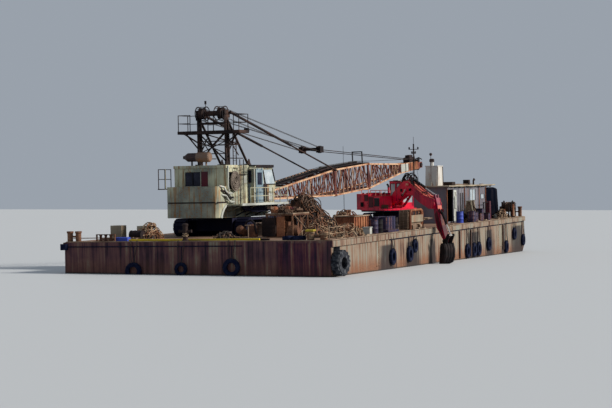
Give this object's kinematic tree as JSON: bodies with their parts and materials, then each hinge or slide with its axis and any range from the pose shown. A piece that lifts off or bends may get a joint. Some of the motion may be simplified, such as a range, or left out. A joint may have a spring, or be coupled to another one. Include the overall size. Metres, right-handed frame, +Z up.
{
  "type": "dredging pontoon, 1:2 scale model",
  "caption": "Flat deck barge for dredging with a lattice-boom crawler crane, a tracked excavator, a deckhouse, winches and tyre fenders.",
  "frame": {"origin": "centre of the hull's flat bottom", "axes": "+X towards the end with the deckhouse, +Y away from the side the excavator works over, +Z up"},
  "size_m": [27.6804, 9.3991, 6.3504],
  "materials": {
    "hull": "worn paint over rust",
    "tyre": "old rubber",
    "gear": "rusty paint",
    "cream": "worn cream paint",
    "lilac": "faded grey paint",
    "white": "white paint",
    "tarp": "black tarpaulin",
    "funnel": "grey paint, rust at edges",
    "dark": "greased dark steel",
    "drums": "navy paint",
    "timber": "weathered boards",
    "track": "worn track steel",
    "crane": "weathered grey-cream paint",
    "boom": "rusty red-brown paint",
    "red": "bright red paint",
    "steel": "polished rod",
    "black": "black paint"
  },
  "bodies": {
    "pontoon": {"hull": "hull", "end_fenders": "tyre", "side_fenders": "tyre", "corner_tyre": "tyre", "bitts_near_port": "gear", "bitts_near_working": "gear", "bitts_far_port": "gear", "bitts_far_working": "gear", "fairlead_port": "gear", "deckhouse_walls": "lilac", "deckhouse_roof": "cream", "shelter": "tarp", "funnel": "funnel", "mast": "dark", "winch_frame": "gear", "windlass_frame": "gear", "machinery_platform": "gear", "wire_heap": "gear", "drum_pallet": "drums", "crate": "timber", "deck_boxes": "cream", "crane_track_left": "track", "crane_track_right": "track", "crane_undercarriage": "track", "digger_track_left": "track", "digger_track_right": "track", "digger_undercarriage": "track"},
    "deckhouse_leaf": {"deckhouse_door": "white"},
    "winch_reel": {"winch_drum": "dark"},
    "windlass_reel": {"windlass_drum": "dark"},
    "crane_upper": {"crane_bed": "crane", "crane_counterweight": "crane", "crane_house": "crane", "crane_cab": "crane", "crane_gantry": "dark", "silencer": "funnel"},
    "crane_leaf": {"crane_cab_door": "crane"},
    "crane_boom": {"boom_base": "boom", "boom_insert": "boom", "boom_tip": "boom"},
    "head_wheel": {"boom_head_sheave": "dark"},
    "sheave_block": {"gantry_sheaves": "dark"},
    "pendant_set": {"pendants": "dark"},
    "backstop_pair": {"backstop_tubes": "dark"},
    "backstop_rods": {"backstop_rod_left": "dark", "backstop_rod_right": "dark"},
    "digger_upper": {"digger_house": "red", "digger_counterweight": "red", "digger_cab": "white"},
    "digger_leaf": {"digger_cab_door": "white"},
    "digger_arm": {"digger_boom": "red"},
    "arm_barrels": {"digger_boom_cylinders": "dark"},
    "arm_rods": {"digger_boom_rod_right": "steel", "digger_boom_rod_left": "steel"},
    "digger_dipper": {"digger_stick": "red"},
    "dipper_barrel": {"digger_stick_cylinder": "dark"},
    "dipper_rod": {"digger_stick_rod": "steel"},
    "digger_scoop": {"digger_bucket": "black"},
    "scoop_barrel": {"digger_bucket_cylinder": "dark"},
    "scoop_rod": {"digger_bucket_rod": "steel"}
  },
  "joints": [
    {"name": "deckhouse_door_swing", "type": "hinge", "parent": "pontoon", "child": "deckhouse_leaf", "pos_m": [4.603, -3.323, 2.6004], "axis": [0, 0, -1], "range_deg": [0, 110]},
    {"name": "winch_spin", "type": "hinge", "parent": "pontoon", "child": "winch_reel", "pos_m": [5.675, -3.7225, 2.3804], "axis": [1, 0, 0], "continuous": true},
    {"name": "windlass_spin", "type": "hinge", "parent": "pontoon", "child": "windlass_reel", "pos_m": [12.875, -3.7125, 2.4454], "axis": [0, 1, 0], "continuous": true},
    {"name": "crane_slew", "type": "hinge", "parent": "pontoon", "child": "crane_upper", "pos_m": [-7.825, 1.0875, 2.6004], "axis": [0, 0, 1], "range_deg": [0, 300]},
    {"name": "crane_cab_door_slide", "type": "slide", "parent": "crane_upper", "child": "crane_leaf", "axis": [-0.9925, 0.1219, 0], "range_m": [0, 0.42]},
    {"name": "crane_luff", "type": "hinge", "parent": "crane_upper", "child": "crane_boom", "pos_m": [-6.88208, 0.97172, 3.2004], "axis": [-0.1219, -0.9925, 0], "range_deg": [0, 61]},
    {"name": "head_sheave_spin", "type": "hinge", "parent": "crane_boom", "child": "head_wheel", "pos_m": [8.2037, -0.88058, 4.31655], "axis": [0.1219, 0.9925, 0], "continuous": true},
    {"name": "pendant_swing", "type": "hinge", "parent": "crane_boom", "child": "pendant_set", "pos_m": [7.90101, -0.84341, 4.50973], "axis": [-0.1219, -0.9925, 0], "range_deg": [-6.8, 1]},
    {"name": "gantry_block_tilt", "type": "hinge", "parent": "crane_upper", "child": "sheave_block", "pos_m": [-9.10042, 1.2441, 5.9454], "axis": [-0.1219, -0.9925, 0], "range_deg": [-1, 62.2]},
    {"name": "backstop_tilt", "type": "hinge", "parent": "crane_upper", "child": "backstop_pair", "pos_m": [-8.86717, 1.21546, 5.9754], "axis": [-0.1219, -0.9925, 0], "range_deg": [-1, 49.4]},
    {"name": "backstop_slide", "type": "slide", "parent": "backstop_pair", "child": "backstop_rods", "axis": [-0.9664, 0.1187, 0.2282], "range_m": [-0.01, 3.181]},
    {"name": "digger_slew", "type": "hinge", "parent": "pontoon", "child": "digger_upper", "pos_m": [0.125, -2.1125, 2.6004], "axis": [0, 0, 1], "range_deg": [0, 70]},
    {"name": "digger_door_swing", "type": "hinge", "parent": "digger_upper", "child": "digger_leaf", "pos_m": [0.95383, -2.25301, 3.1504], "axis": [0, 0, 1], "range_deg": [0, 150]},
    {"name": "digger_boom_lift", "type": "hinge", "parent": "digger_upper", "child": "digger_arm", "pos_m": [0.05922, -2.15371, 2.8754], "axis": [-0.7314, 0.682, 0], "range_deg": [-2.5, 45]},
    {"name": "boom_cylinder_tilt", "type": "hinge", "parent": "digger_upper", "child": "arm_barrels", "pos_m": [-0.23063, -2.46454, 2.7404], "axis": [-0.7314, 0.682, 0], "range_deg": [-6, 49.1]},
    {"name": "boom_cylinder_slide", "type": "slide", "parent": "arm_barrels", "child": "arm_rods", "axis": [-0.5378, -0.5767, 0.615], "range_m": [-0.04, 0.346]},
    {"name": "digger_stick_swing", "type": "hinge", "parent": "digger_arm", "child": "digger_dipper", "pos_m": [-1.93903, -4.29658, 2.8104], "axis": [-0.7314, 0.682, 0], "range_deg": [0, 45]},
    {"name": "stick_cylinder_tilt", "type": "hinge", "parent": "digger_arm", "child": "dipper_barrel", "pos_m": [-0.81032, -3.08619, 3.7604], "axis": [-0.7314, 0.682, 0], "range_deg": [-7.8, 1]},
    {"name": "stick_cylinder_slide", "type": "slide", "parent": "dipper_barrel", "child": "dipper_rod", "axis": [0.6383, 0.6845, 0.3521], "range_m": [-0.01, 0.176]},
    {"name": "bucket_curl", "type": "hinge", "parent": "digger_dipper", "child": "digger_scoop", "pos_m": [-2.34482, -4.73173, 1.5404], "axis": [0.7314, -0.682, 0], "range_deg": [-45, 12]},
    {"name": "bucket_cylinder_tilt", "type": "hinge", "parent": "digger_dipper", "child": "scoop_barrel", "pos_m": [-2.14022, -4.51233, 2.6004], "axis": [0.7314, -0.682, 0], "range_deg": [-4, 8.8]},
    {"name": "bucket_cylinder_slide", "type": "slide", "parent": "scoop_barrel", "child": "scoop_rod", "axis": [-0.3992, -0.4281, -0.8108], "range_m": [-0.272, 0.09]}
  ],
  "couplings": [
    {"joint": "pendant_swing", "follows": "crane_luff", "ratio": -0.1031},
    {"joint": "gantry_block_tilt", "follows": "crane_luff", "ratio": 1.0034},
    {"joint": "backstop_tilt", "follows": "crane_luff", "ratio": 0.7929},
    {"joint": "backstop_slide", "follows": "crane_luff", "m_per_rad": 2.9789},
    {"joint": "boom_cylinder_tilt", "follows": "digger_boom_lift", "ratio": 1.0698},
    {"joint": "boom_cylinder_slide", "follows": "digger_boom_lift", "m_per_rad": 0.4276},
    {"joint": "stick_cylinder_tilt", "follows": "digger_stick_swing", "ratio": -0.1505},
    {"joint": "stick_cylinder_slide", "follows": "digger_stick_swing", "m_per_rad": 0.211},
    {"joint": "bucket_cylinder_tilt", "follows": "bucket_curl", "ratio": -0.1725},
    {"joint": "bucket_cylinder_slide", "follows": "bucket_curl", "m_per_rad": 0.3331}
  ]
}
